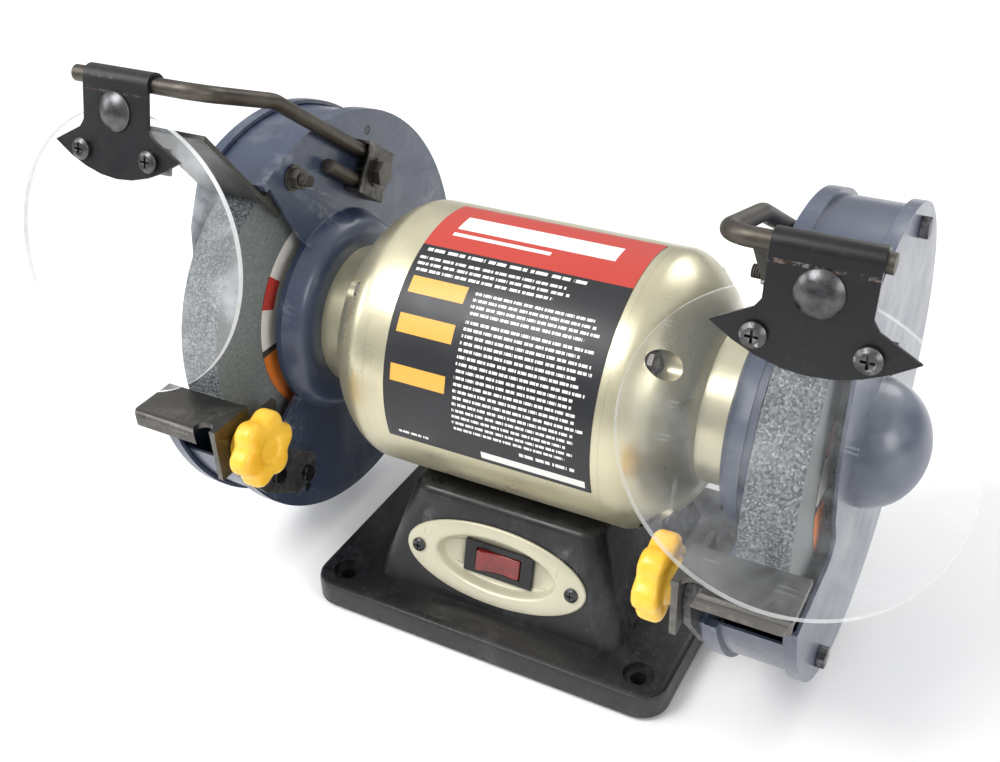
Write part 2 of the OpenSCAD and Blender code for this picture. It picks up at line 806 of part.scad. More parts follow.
// Nuts and washers on the deflector bolts
module deflector_nuts() {
    color([0.35, 0.34, 0.32]) for (s = [-1, 1]) on_side(s) difference() {
        union() {
            xcyl(guard_in - 1.22, guard_in - 0.02, 5.5, spark_stud_y, spark_stud_z);
            xhex(guard_in - 5.4, guard_in - 1.2, 8, spark_stud_y, spark_stud_z);
        }
        xcyl(guard_in - 10, guard_in + 1, 2.55, spark_stud_y, spark_stud_z);
    }
}

// Saddle clamp that holds the hooked end of a shield rod
module shield_clamp(side, a) {
    w = 23;
    h = 20;
    t = 1.6;
    back = rod_plane - rod_r - 0.05;
    color([0.36, 0.35, 0.33]) on_side(side)
        translate([back, clamp_y, clamp_z]) rotate([-a, 0, 0]) difference() {
            union() {
                translate([-t, -h / 2, -w / 2]) cube([t, h, w]);
                for (z = [-w / 2, w / 2 - t]) translate([-t, -h / 2, z])
                    cube([guard_in - 0.05 - back + t, h, t]);
            }
            translate([-5, 0, 0]) rotate([0, 90, 0]) cylinder(h = 10, r = clamp_bolt_r + 0.06);
        }
}

module left_shield_clamp() { shield_clamp(-1, left_rod_angle); }
module right_shield_clamp() { shield_clamp(1, right_rod_angle); }

module shield_clamp_bolts() {
    color([0.4, 0.39, 0.37]) for (s = [-1, 1]) on_side(s) {
        a = rod_plane - rod_r - 0.05 - 1.6;
        xhex(a - 4.4, a - 0.9, 10, clamp_y, clamp_z);
        xcyl(a - 0.92, a - 0.02, 6.4, clamp_y, clamp_z);
        xcyl(a - 0.95, guard_in + guard_t + 3, clamp_bolt_r, clamp_y, clamp_z);
    }
}

// Where a rod's run along X lies, in [y, z], for a rod slope
function run_at(a) =
    let (u = rise_len + reach_len * cos(rod_bend), v = hook_r - reach_len * sin(rod_bend))
    [clamp_y - u * cos(a) + v * sin(a), clamp_z + u * sin(a) + v * cos(a)];

// A straight stretch of rod along +Y, whose ends reach a little into the bends
module rod_length(len) {
    translate([0, -bend_lap, 0]) rotate([-90, 0, 0])
        cylinder(h = len + 2 * bend_lap, r = rod_r);
}

// A bend that starts along +Y and turns by angle a; turn 90 bends to +Z, 180 to +X
module rod_elbow(r, a, turn) {
    rotate([0, turn, 0]) translate([-r, 0, 0]) rotate_extrude(angle = a)
        translate([r, 0]) circle(rod_r + bend_swell);
}

// Moves its children to the far end of such a bend
module after_elbow(r, a, turn) {
    rotate([0, turn, 0]) translate([-r, 0, 0]) rotate([0, 0, a]) translate([r, 0, 0])
        rotate([0, -turn, 0]) children();
}

// Hooked, bent rod that carries an eye shield; +Y runs up the slope from the bolt
module shield_rod(side, a, end) {
    knee = crest_r * tan(rod_bend / 2);
    rise = rise_len - knee;
    reach = reach_len - knee - bend_r;
    color([0.30, 0.27, 0.24]) on_side(side)
        translate([rod_plane, clamp_y, clamp_z]) rotate([180 - a, 0, 0]) {
            translate([0, 0, hook_r]) rod_length(stub_len);
            translate([0, 0, -hook_r]) {
                rotate([0, 0, 180]) rod_elbow(hook_r, 180, 90);
                rod_length(rise);
                translate([0, rise, 0]) {
                    rod_elbow(crest_r, rod_bend, 90);
                    after_elbow(crest_r, rod_bend, 90) {
                        rod_length(reach);
                        translate([0, reach, 0]) {
                            rod_elbow(bend_r, 90, 180);
                            after_elbow(bend_r, 90, 180)
                                rod_length(end - rod_plane - bend_r);
                        }
                    }
                }
            }
        }
}

module left_shield_rod() { shield_rod(-1, left_rod_angle, left_rod_end); }
module right_shield_rod() { shield_rod(1, right_rod_angle, right_rod_end); }

// Places its children at the middle of a shield, +Z up its plate and -Y outwards
module at_shield(side, a, tilt) {
    p = run_at(a);
    out = side < 0 ? left_shield_x : right_shield_x;
    on_side(side) translate([out, p[0], p[1]]) rotate([-tilt, 0, 0]) children();
}

// Outline of the shield bracket, in [x, z] below the rod
module bracket_outline() {
    belly = [for (i = [0:8]) let (q = -1 + i / 4)
        [wing_half * q, -belly_drop + (belly_drop - wing_drop - 1) * q * q]];
    polygon(concat([[-neck_half, 0], [-neck_half, -neck_drop + 2],
        [-neck_half - 2, -neck_drop - 1]], belly,
        [[neck_half + 2, -neck_drop - 1], [neck_half, -neck_drop + 2], [neck_half, 0]]));
}

// Stamped bracket whose top edge is rolled round the rod
module shield_bracket(side, a, tilt) {
    color([0.08, 0.08, 0.09]) at_shield(side, a, tilt) difference() {
        union() {
            translate([0, -plate_front, 0]) rotate([90, 0, 0]) linear_extrude(roll_t)
                bracket_outline();
            translate([-roll_len / 2, 0, 0]) rotate([0, 90, 0]) cylinder(h = roll_len, r = roll_r);
        }
        translate([-roll_len / 2 - 1, 0, 0]) rotate([0, 90, 0])
            cylinder(h = roll_len + 2, r = rod_r + roll_gap);
        translate([-roll_len / 2 - 1, -plate_front, -rod_r - 3])
            cube([roll_len + 2, 10, rod_r + 0.4]);
        shield_screw_holes();
    }
}

module shield_screw_holes() {
    for (s = [-1, 1]) translate([s * screw_span, 10, -screw_drop]) rotate([90, 0, 0])
        cylinder(h = 24, r = 2.1);
    translate([0, 10, -rivet_drop]) rotate([90, 0, 0]) cylinder(h = 24, r = 2.6);
}

module left_shield_bracket() { shield_bracket(-1, left_rod_angle, left_shield_tilt); }
module right_shield_bracket() { shield_bracket(1, right_rod_angle, right_shield_tilt); }

// Clear round shield
module shield_lens(side, a, tilt) {
    color([0.85, 0.88, 0.9]) at_shield(side, a, tilt) difference() {
        translate([lens_shift, -plate_front + lens_t + 0.02, -lens_drop]) rotate([90, 0, 0])
            cylinder(h = lens_t, r = lens_dia / 2, $fn = 128);
        shield_screw_holes();
    }
}

module left_shield_lens() { shield_lens(-1, left_rod_angle, left_shield_tilt); }
module right_shield_lens() { shield_lens(1, right_rod_angle, right_shield_tilt); }

// Backing strip behind the shield
module shield_backing(side, a, tilt) {
    color([0.12, 0.12, 0.13]) at_shield(side, a, tilt) difference() {
        translate([0, -plate_front + lens_t + 0.04 + backing_t, -screw_drop - 5])
            rotate([90, 0, 0]) linear_extrude(backing_t) union() {
                translate([-23, 0]) square([46, 10]);
                translate([-8, 9]) square([16, 14]);
            }
        shield_screw_holes();
    }
}

module left_shield_backing() { shield_backing(-1, left_rod_angle, left_shield_tilt); }
module right_shield_backing() { shield_backing(1, right_rod_angle, right_shield_tilt); }

// Two pan head screws and one round head bolt with their nuts
module shield_fasteners(side, a, tilt) {
    front = -plate_front - roll_t - 0.02;
    rear = -plate_front + lens_t + backing_t + 0.06;
    color([0.35, 0.35, 0.36]) at_shield(side, a, tilt) {
        for (s = [-1, 1]) translate([s * screw_span, 0, -screw_drop]) rotate([90, 0, 0]) {
            translate([0, 0, -rear - 2.6]) pan_screw(rear - front + 2.6, 2.0, 4.2, 2.6);
            translate([0, 0, -rear - 2.2]) cylinder(h = 2.2, r = 7 / sqrt(3), $fn = 6);
        }
        translate([0, 0, -rivet_drop]) rotate([90, 0, 0]) {
            translate([0, 0, -rear - 2.8]) cylinder(h = rear - front + 2.8, r = 2.5);
            translate([0, 0, -rear - 2.4]) cylinder(h = 2.4, r = 8 / sqrt(3), $fn = 6);
            translate([0, 0, -front]) intersection() {
                cylinder(h = 3.4, r = 7.5);
                translate([0, 0, -7.6]) sphere(11);
            }
        }
    }
}

module left_shield_fasteners() { shield_fasteners(-1, left_rod_angle, left_shield_tilt); }
module right_shield_fasteners() { shield_fasteners(1, right_rod_angle, right_shield_tilt); }

// Fixed arms that carry the tool rests, screwed to the guards
module rest_supports() {
    color([0.16, 0.16, 0.16]) for (s = [-1, 1]) on_side(s) difference() {
        xsheet(support_in, support_in + support_t)
            polygon([[knob_y - 8, knob_h - 10], [knob_y - 10, knob_h], [knob_y - 7, knob_h + 8],
                [knob_y + 6, knob_h + 9], [-58, shaft_h - 40], [-36, shaft_h - 58],
                [-38, shaft_h - 68], [-52, shaft_h - 70], [-72, shaft_h - 56]]);
        for (p = support_screws) xcyl(90, 110, 2.1, p[0], p[1]);
        xcyl(90, 110, stud_r + 0.05, knob_y, knob_h);
    }
}

module rest_support_screws() {
    color([0.3, 0.3, 0.3]) for (s = [-1, 1], p = support_screws) on_side(s) {
        xcyl(support_in - 2.4, support_in - 0.02, 4, p[0], p[1]);
        xcyl(support_in - 0.5, guard_in + guard_t + 2, 1.95, p[0], p[1]);
    }
}

// Tool rest: a table with a turned-down lip and a slotted leg
module tool_rest(side) {
    slot_from = knob_y - 2;
    slot_to = knob_y + 14;
    front = rest_back - rest_d;
    lip_in = rest_in + 8;
    color([0.33, 0.32, 0.31]) on_side(side) difference() {
        union() {
            translate([rest_in, front, rest_h - rest_t]) cube([rest_w, rest_d, rest_t]);
            xsheet(lip_in, rest_in + rest_w) polygon([[front + 2, rest_h],
                [front - 0.8, rest_h - 0.5], [front - 2, rest_h - 1.8],
                [front - 3, rest_h - 5.8], [front - 0.6, rest_h - 5.8],
                [front + 0.4, rest_h - rest_t], [front + 2, rest_h - rest_t]]);
            translate([leg_in, front, rest_h - leg_drop]) cube([rest_t, leg_len, leg_drop]);
        }
        hull() for (y = [slot_from, slot_to]) translate([leg_in - 1, y, knob_h])
            rotate([0, 90, 0]) cylinder(h = rest_t + 2, r = slot_r, $fn = 32);
        translate([lip_in - 1.2, front + 1, rest_h - 10]) cylinder(h = 20, r = 4);
        translate([rest_in + rest_w - lip_r, front - 3 + lip_r, rest_h - 12]) difference() {
            translate([0, -lip_r - 1, 0]) cube([lip_r + 1, lip_r + 1, 14]);
            translate([0, 0, -1]) cylinder(h = 16, r = lip_r);
        }
        translate([leg_in - 1, rest_back + 0.5, rest_h - 7.5])
            cube([rest_t + 3, leg_len, 10]);
    }
}

module left_tool_rest() { tool_rest(-1); }
module right_tool_rest() { tool_rest(1); }

// Six-lobed clamp knob
module rest_knob(side) {
    x1 = leg_in - 0.05;
    x0 = x1 - knob_t;
    color([0.95, 0.75, 0.2]) on_side(side) difference() {
        union() {
            xcyl(x0, x1, 8.5, knob_y, knob_h);
            for (a = [0:60:300]) xcyl(x0 + 1, x1 - 5, 4.6, knob_y + 11.6 * cos(a),
                knob_h + 11.6 * sin(a));
            xcyl(x0 + 1, x1 - 5, 11.6, knob_y, knob_h);
        }
        xcyl(x0 + 4, x1 + 1, stud_r + 0.01, knob_y, knob_h);
    }
}

module left_rest_knob() { rest_knob(-1); }
module right_rest_knob() { rest_knob(1); }

// Steel stud moulded into the knob
module knob_stud(side) {
    x1 = leg_in - 0.05;
    color([0.6, 0.6, 0.6]) on_side(side)
        xcyl(x1 - knob_t + 4.02, support_in + support_t + 2, stud_r, knob_y, knob_h);
}

module left_knob_stud() { knob_stud(-1); }
module right_knob_stud() { knob_stud(1); }

base_housing();
base_bottom_plate();
rubber_feet();
base_screws();
motor_mount_bolts();
switch_bezel();
bezel_screws();
switch_housing();
switch_rocker();
run_capacitor();
cord_inlet_bushing();
motor_shell();
left_end_bell();
right_end_bell();
stator_core();
stator_windings();
motor_label();
through_bolts();
bearing_outer_rings();
bearing_inner_rings();
bearing_ball_cages();
arbor_shaft();
rotor_core();
left_wheel();
right_wheel();
wheel_bushings();
wheel_labels();
wheel_flanges();
arbor_nuts();
left_guard();
right_guard();
left_guard_cover();
right_guard_cover();
guard_cover_screws();
guard_mount_screws();
left_spark_deflector();
right_spark_deflector();
deflector_bolts();
deflector_nuts();
left_shield_clamp();
right_shield_clamp();
shield_clamp_bolts();
left_shield_rod();
right_shield_rod();
left_shield_bracket();
right_shield_bracket();
left_shield_lens();
right_shield_lens();
left_shield_backing();
right_shield_backing();
left_shield_fasteners();
right_shield_fasteners();
rest_supports();
rest_support_screws();
left_tool_rest();
right_tool_rest();
left_rest_knob();
right_rest_knob();
left_knob_stud();
right_knob_stud();
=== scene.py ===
"""Looks of a bench grinder: materials, softened edges, detailed pieces, camera and light."""
import json
import math

import bmesh
import bpy
from mathutils import Matrix, Vector


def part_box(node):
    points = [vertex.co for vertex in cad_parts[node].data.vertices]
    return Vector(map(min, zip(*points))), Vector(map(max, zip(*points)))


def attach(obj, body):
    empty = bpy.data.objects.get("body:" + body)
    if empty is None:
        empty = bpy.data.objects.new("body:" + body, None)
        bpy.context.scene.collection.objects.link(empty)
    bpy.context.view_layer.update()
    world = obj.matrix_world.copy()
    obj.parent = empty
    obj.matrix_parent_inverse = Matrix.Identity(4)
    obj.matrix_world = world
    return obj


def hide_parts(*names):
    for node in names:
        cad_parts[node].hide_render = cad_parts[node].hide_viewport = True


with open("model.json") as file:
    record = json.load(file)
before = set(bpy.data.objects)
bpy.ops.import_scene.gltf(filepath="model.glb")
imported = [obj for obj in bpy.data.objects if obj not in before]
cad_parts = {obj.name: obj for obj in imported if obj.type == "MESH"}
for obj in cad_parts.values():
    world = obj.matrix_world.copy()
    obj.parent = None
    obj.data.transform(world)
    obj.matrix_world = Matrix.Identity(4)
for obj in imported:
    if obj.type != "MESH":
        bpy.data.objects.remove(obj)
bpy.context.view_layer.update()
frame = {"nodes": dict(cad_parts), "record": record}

MM = 0.001
SIDES = {"left": -1, "right": 1}

# Places that the frame gives
JOINTS = {j["name"]: j for j in frame["record"]["behaviour"]["joints"]}
SHAFT_Z = sum(v.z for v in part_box("arbor_shaft")) / 2
LABEL_LOW, LABEL_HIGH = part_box("motor_label")


# ---------------------------------------------------------------- shaders

class Shader:
    """A Principled material with short calls for the nodes that feed it."""

    def __init__(self, name):
        self.mat = bpy.data.materials.new(name)
        self.mat.use_nodes = True
        self.tree = self.mat.node_tree
        self.bsdf = self.tree.nodes["Principled BSDF"]
        coords = self.tree.nodes.new("ShaderNodeTexCoord")
        self.place = coords.outputs["Object"]
        self.split = None

    def node(self, kind, **settings):
        n = self.tree.nodes.new(kind)
        for key, value in settings.items():
            setattr(n, key, value)
        return n

    def feed(self, socket, value):
        if isinstance(value, bpy.types.NodeSocket):
            self.tree.links.new(value, socket)
        elif isinstance(value, (tuple, list)) and len(value) == 3 and socket.type == "RGBA":
            socket.default_value = (*value, 1)
        else:
            socket.default_value = value

    def math(self, operation, a, b=0.0, clamp=False):
        n = self.node("ShaderNodeMath", operation=operation, use_clamp=clamp)
        self.feed(n.inputs[0], a)
        self.feed(n.inputs[1], b)
        return n.outputs[0]

    def xyz(self):
        if self.split is None:
            n = self.node("ShaderNodeSeparateXYZ")
            self.feed(n.inputs[0], self.place)
            self.split = n.outputs
        return self.split

    def stretched(self, x, y, z):
        n = self.node("ShaderNodeMapping")
        self.feed(n.inputs["Vector"], self.place)
        n.inputs["Scale"].default_value = (x, y, z)
        return n.outputs[0]

    def noise(self, scale, detail=3.0, rough=0.55, where=None):
        n = self.node("ShaderNodeTexNoise")
        self.feed(n.inputs["Vector"], where or self.place)
        n.inputs["Scale"].default_value = scale
        n.inputs["Detail"].default_value = detail
        n.inputs["Roughness"].default_value = rough
        return n.outputs["Fac"]

    def cells(self, scale, output="Distance"):
        n = self.node("ShaderNodeTexVoronoi")
        self.feed(n.inputs["Vector"], self.place)
        n.inputs["Scale"].default_value = scale
        return n.outputs[output]

    def ramp(self, value, *stops):
        n = self.node("ShaderNodeValToRGB")
        self.feed(n.inputs[0], value)
        marks = n.color_ramp.elements
        while len(marks) < len(stops):
            marks.new(0.5)
        for mark, (at, tone) in zip(marks, stops):
            mark.position = at
            mark.color = (*tone, 1) if isinstance(tone, (tuple, list)) else (tone, tone, tone, 1)
        return n.outputs[0]

    def span(self, value, low, high, out_low=0.0, out_high=1.0):
        n = self.node("ShaderNodeMapRange")
        self.feed(n.inputs["Value"], value)
        for key, v in (("From Min", low), ("From Max", high), ("To Min", out_low), ("To Max", out_high)):
            n.inputs[key].default_value = v
        return n.outputs[0]

    def mix(self, amount, a, b):
        n = self.node("ShaderNodeMix", data_type="RGBA")
        self.feed(n.inputs[0], amount)
        self.feed(n.inputs[6], a)
        self.feed(n.inputs[7], b)
        return n.outputs[2]

    def between(self, value, low, high):
        above = self.math("GREATER_THAN", value, low)
        below = self.math("LESS_THAN", value, high)
        return self.math("MULTIPLY", above, below)

    def both(self, *masks):
        out = masks[0]
        for m in masks[1:]:
            out = self.math("MULTIPLY", out, m)
        return out

    def either(self, *masks):
        out = masks[0]
        for m in masks[1:]:
            out = self.math("MAXIMUM", out, m)
        return out

    def bump(self, height, strength, distance):
        n = self.node("ShaderNodeBump")
        n.inputs["Strength"].default_value = strength
        n.inputs["Distance"].default_value = distance
        self.feed(n.inputs["Height"], height)
        return n.outputs[0]

    def set(self, **sockets):
        for key, value in sockets.items():
            self.feed(self.bsdf.inputs[key.replace("_", " ")], value)

    def worn_edges(self, low=0.53, high=0.60):
        """Rubbed corners, from the mesh's own pointiness, broken up by noise."""
        geo = self.node("ShaderNodeNewGeometry")
        edge = self.span(geo.outputs["Pointiness"], low, high)
        broken = self.span(self.noise(260, 5, 0.7), 0.42, 0.62)
        return self.math("MULTIPLY", edge, broken, clamp=True)

    def dust(self, scale=420, amount=0.045):
        """Small pale specks scattered over a surface."""
        speck = self.math("LESS_THAN", self.cells(scale), amount)
        patch = self.math("GREATER_THAN", self.noise(30, 2), 0.5)
        return self.math("MULTIPLY", speck, patch)


# Height of the fine relief of a surface, in metres, and how much smudges change a paint's gloss
RELIEF = 0.0002
SMUDGE = 0.12


def paint(name, dark, light, rough, metallic=0.0, coat=0.0, peel=0.12, wear=None, dust=0.0,
          grain=700, smear=0.0):
    """Sprayed paint: soft tone changes, orange peel, rubbed corners, dust and hand smears."""
    s = Shader(name)
    tone = s.mix(s.span(s.noise(18, 4, 0.6), 0.3, 0.7), dark, light)
    if wear:
        tone = s.mix(s.worn_edges(), tone, wear)
    if dust:
        tone = s.mix(s.math("MULTIPLY", s.dust(), dust), tone, (0.62, 0.6, 0.56))
    if smear:
        wipe = s.span(s.noise(26, 7, 0.72, s.stretched(1.0, 1.0, 0.45)), 0.54, 0.76, 0.0, smear)
        tone = s.mix(wipe, tone, (0.42, 0.43, 0.44))
    s.set(Base_Color=tone, Metallic=metallic, Coat_Weight=coat, Coat_Roughness=0.18)
    s.set(Roughness=s.span(s.noise(34, 5, 0.65), 0.3, 0.7, rough - SMUDGE, rough + SMUDGE))
    s.set(Normal=s.bump(s.noise(grain, 2), peel, RELIEF))
    return s.mat


def metal(name, dark, light, rough, rust=0.0, brushed=None, wear=None, bump=0.2, mottle=120):
    """Bare or blackened steel: mottled tone, rust spots, rubbed edges and a fine grain."""
    s = Shader(name)
    tone = s.mix(s.span(s.noise(mottle, 6, 0.7), 0.32, 0.68), dark, light)
    if rust:
        spot = s.span(s.noise(90, 8, 0.75), 0.60, 0.70, 0.0, rust)
        tone = s.mix(spot, tone, (0.17, 0.07, 0.032))
    if wear:
        tone = s.mix(s.worn_edges(), tone, wear)
    where = s.stretched(*brushed) if brushed else None
    s.set(Base_Color=tone, Metallic=1.0)
    s.set(Roughness=s.span(s.noise(60, 5, 0.7, where), 0.3, 0.7, rough - 0.12, rough + 0.14))
    s.set(Normal=s.bump(s.noise(900, 4, 0.7, where), bump, RELIEF))
    return s.mat


def plastic(name, dark, light, rough, bump=0.06, subsurface=0.0):
    """Moulded plastic or rubber: faint streaks of tone and a fine moulded grain."""
    s = Shader(name)
    tone = s.mix(s.span(s.noise(70, 5, 0.65), 0.35, 0.7), dark, light)
    s.set(Base_Color=tone, Subsurface_Weight=subsurface, Subsurface_Scale=0.004)
    s.set(Roughness=s.span(s.noise(90, 4), 0.3, 0.7, rough - 0.08, rough + 0.12))
    s.set(Normal=s.bump(s.noise(1200, 2), bump, RELIEF))
    return s.mat


def grit():
    """Bonded abrasive: dark and pale grains in a grey bond, smoother on the flat sides."""
    s = Shader("wheel_grit")
    tone = s.node("ShaderNodeRGBToBW")
    s.feed(tone.inputs[0], s.cells(1350, "Color"))
    fine = s.noise(1900, 3, 0.7)
    value = s.math("ADD", s.math("MULTIPLY", tone.outputs[0], 0.8), s.math("MULTIPLY", fine, 0.25))
    rim = s.ramp(value, (0.22, (0.036, 0.040, 0.044)), (0.46, (0.094, 0.104, 0.112)),
                 (0.66, (0.18, 0.197, 0.206)), (0.80, (0.26, 0.28, 0.29)), (0.93, (0.42, 0.44, 0.45)))
    worn = s.span(s.noise(45, 3), 0.35, 0.7, 0.0, 0.35)
    rim = s.mix(worn, rim, (0.17, 0.185, 0.193))
    geo = s.node("ShaderNodeNewGeometry")
    axis = s.node("ShaderNodeSeparateXYZ")
    s.feed(axis.inputs[0], geo.outputs["True Normal"])
    flat = s.math("GREATER_THAN", s.math("ABSOLUTE", axis.outputs[0]), 0.5)
    side = s.mix(s.span(fine, 0.3, 0.7), (0.13, 0.146, 0.139), (0.235, 0.26, 0.248))
    s.set(Base_Color=s.mix(s.math("MULTIPLY", flat, 0.7), rim, side), Roughness=0.9)
    s.set(Normal=s.bump(value, 0.5, 0.0005))
    return s.mat


def round_shaft(s):
    """Angle from the front, upwards, and radius about the shaft, in radians and metres."""
    x, y, z = s.xyz()
    up = s.math("SUBTRACT", z, SHAFT_Z)
    front = s.math("MULTIPLY", y, -1.0)
    angle = s.math("ARCTAN2", up, front)
    radius = s.math("SQRT", s.math("ADD", s.math("MULTIPLY", up, up), s.math("MULTIPLY", front, front)))
    return x, angle, radius


def text_lines(s, across, up, rows, words, seed):
    """Broken bars in rows, which read as print from afar and hold no letters; both inputs run 0 to 1."""
    row = s.math("FLOOR", s.math("MULTIPLY", up, rows))
    inside = s.math("FRACT", s.math("MULTIPLY", up, rows))
    bar = s.between(inside, 0.28, 0.72)
    shift = s.math("FRACT", s.math("MULTIPLY", s.math("SINE", s.math("MULTIPLY", row, 12.9 + seed)), 43.7))
    cell = s.math("ADD", s.math("MULTIPLY", across, words), s.math("MULTIPLY", shift, 7.0))
    gap = s.math("GREATER_THAN", s.math("FRACT", cell), 0.16)
    wobble = s.math("ADD", s.math("MULTIPLY", cell, 1.63), 0.31)
    gap_two = s.math("GREATER_THAN", s.math("FRACT", wobble), 0.12)
    full = s.math("LESS_THAN", across, s.math("ADD", 0.86, s.math("MULTIPLY", shift, 0.14)))
    return s.both(bar, gap, gap_two, full)


def motor_label():
    """Black film with a red head, plain amber bars and rows of broken white bars."""
    s = Shader("motor_label")
    x, angle, _ = round_shaft(s)
    u = s.span(x, LABEL_LOW.x, LABEL_HIGH.x)
    deg = s.math("MULTIPLY", angle, 180 / math.pi)

    def box(u0, u1, a0, a1):
        return s.both(s.between(u, u0, u1), s.between(deg, a0, a1))

    def block(u0, u1, a0, a1, rows, words, seed):
        lines = text_lines(s, s.span(u, u0, u1), s.span(deg, a0, a1), rows, words, seed)
        return s.both(box(u0, u1, a0, a1), lines)

    tone = s.mix(box(0.0, 1.0, 70.0, 110.0), (0.012, 0.013, 0.016), (0.50, 0.045, 0.03))
    white = s.either(
        box(0.10, 0.86, 82.0, 92.0),
        box(0.10, 0.58, 77.5, 79.5),
        block(0.02, 0.93, 66.0, 69.5, 1, 9, 1.0),
        block(0.02, 0.80, 56.5, 65.0, 3, 12, 2.0),
        block(0.35, 0.975, 44.0, 54.5, 4, 13, 3.0),
        block(0.35, 0.975, -2.5, 43.0, 17, 13, 4.0),
        block(0.66, 0.975, -7.0, -3.5, 1, 4, 5.0),
        block(0.05, 0.24, -12.5, -9.5, 1, 3, 6.0),
        box(0.48, 0.975, -13.0, -9.5),
    )
    tone = s.mix(white, tone, (0.80, 0.80, 0.78))
    amber = s.either(*(box(0.035, 0.31, *rows) for rows in ((48.0, 55.0), (32.0, 39.5), (12.5, 19.5))))
    tone = s.mix(amber, tone, (0.80, 0.42, 0.07))
    tone = s.mix(s.math("MULTIPLY", s.dust(600, 0.03), 0.6), tone, (0.7, 0.68, 0.62))
    s.set(Base_Color=tone, Coat_Weight=0.08, Coat_Roughness=0.2)
    s.set(Roughness=s.span(s.noise(40, 5, 0.7), 0.3, 0.7, 0.34, 0.5))
    s.set(Normal=s.bump(s.noise(90, 3), 0.05, 0.0003))
    return s.mat


# Radii on a wheel's paper disc, in metres: start of the print, of its pale ring and of the red blocks
PAPER_PRINT_R = 0.018
PAPER_RING_R = 0.0365
PAPER_RED_R = 0.040


def wheel_paper():
    """Paper disc: white ring with a red block and an orange arc, and a dark middle with pale bars."""
    s = Shader("wheel_paper")
    _, angle, radius = round_shaft(s)
    deg = s.math("MULTIPLY", angle, 180 / math.pi)
    ring = s.math("GREATER_THAN", radius, PAPER_RING_R)
    turn = s.span(angle, -math.pi, math.pi)
    rows = s.span(radius, PAPER_PRINT_R, PAPER_RING_R)
    print_bars = text_lines(s, s.math("FRACT", s.math("MULTIPLY", turn, 3.0)), rows, 6, 9, 2.0)
    middle = s.mix(print_bars, (0.05, 0.05, 0.055), (0.55, 0.54, 0.50))
    tone = s.mix(ring, middle, (0.78, 0.76, 0.70))
    orange = s.both(ring, s.either(s.between(deg, -60.0, -3.0), s.between(deg, 120.0, 175.0)))
    tone = s.mix(orange, tone, (0.78, 0.20, 0.02))
    blocks = s.either(s.between(deg, 24.0, 42.0), s.between(deg, -130.0, -112.0))
    red = s.both(s.math("GREATER_THAN", radius, PAPER_RED_R), blocks)
    tone = s.mix(red, tone, (0.55, 0.03, 0.02))
    dash = s.both(ring, s.between(deg, -3.0, 1.0))
    tone = s.mix(dash, tone, (0.04, 0.03, 0.03))
    grime = s.span(s.noise(60, 6, 0.7), 0.45, 0.8)
    tone = s.mix(s.math("MULTIPLY", grime, 0.35), tone, (0.16, 0.16, 0.15))
    s.set(Base_Color=tone, Roughness=0.72, Normal=s.bump(s.noise(500, 4), 0.2, RELIEF))
    return s.mat


def clear_sheet(side, haze):
    """Clear plastic, hazed by smudges, scratches and grinding dust."""
    s = Shader(side + "_shield_clear")
    smudge = s.span(s.noise(34, 6, 0.7), 0.46, 0.74, 0.0, haze)
    scratch = s.span(s.noise(55, 3, 0.5, s.stretched(1.0, 0.06, 9.0)), 0.70, 0.73, 0.0, 0.08)
    cross = s.span(s.noise(40, 2, 0.5, s.stretched(7.0, 0.1, 0.5)), 0.72, 0.74, 0.0, 0.10)
    speck = s.math("MULTIPLY", s.math("LESS_THAN", s.cells(430), 0.035), 0.3)
    marks = s.math("MAXIMUM", s.math("MAXIMUM", scratch, cross), speck)
    s.set(Base_Color=(0.84, 0.87, 0.90), Specular_IOR_Level=0.55)
    s.set(Roughness=s.span(s.noise(60, 4), 0.3, 0.7, 0.05, 0.14))
    s.set(Alpha=s.math("ADD", s.math("ADD", smudge, marks), 0.25 * haze, clamp=True))
    s.set(Normal=s.bump(s.noise(45, 2), 0.02, 0.0004))
    return s.mat


def sheet_rim(side, alpha):
    """Sawn edge of the clear sheet: a frosted pale tone, brightened to near white as a painted highlight for
    the light the edge gathers.
    """
    s = Shader(side + "_shield_rim")
    # painted highlight: the near-white tone stands in for light caught in the edge, over its frosted colour
    tone = s.mix(s.noise(300, 3), (0.70, 0.73, 0.74), (0.97, 0.98, 0.98))
    s.set(Base_Color=tone, Roughness=0.35)
    s.set(Alpha=s.span(s.noise(25, 2), 0.35, 0.65, alpha - 0.2, alpha))
    s.set(Normal=s.bump(s.noise(700, 2), 0.1, RELIEF))
    return s.mat


def red_rocker():
    """Translucent red plastic with a polished face."""
    s = Shader("rocker_red")
    tone = s.mix(s.span(s.noise(160, 3), 0.3, 0.7), (0.13, 0.006, 0.005), (0.30, 0.018, 0.013))
    s.set(Base_Color=tone, Roughness=0.22, Subsurface_Weight=0.25, Subsurface_Scale=0.004)
    s.set(Coat_Weight=0.6, Coat_Roughness=0.08)
    s.set(Normal=s.bump(s.noise(500, 2), 0.04, RELIEF))
    return s.mat


# The rubbed band on a bracket: its distances from the rod's axis and the height it stays under, in metres
RUB_NEAR = 0.0046
RUB_FAR = 0.0066
RUB_BELOW = -0.0024
RUB_STRENGTH = {"left": 0.25, "right": 0.6}


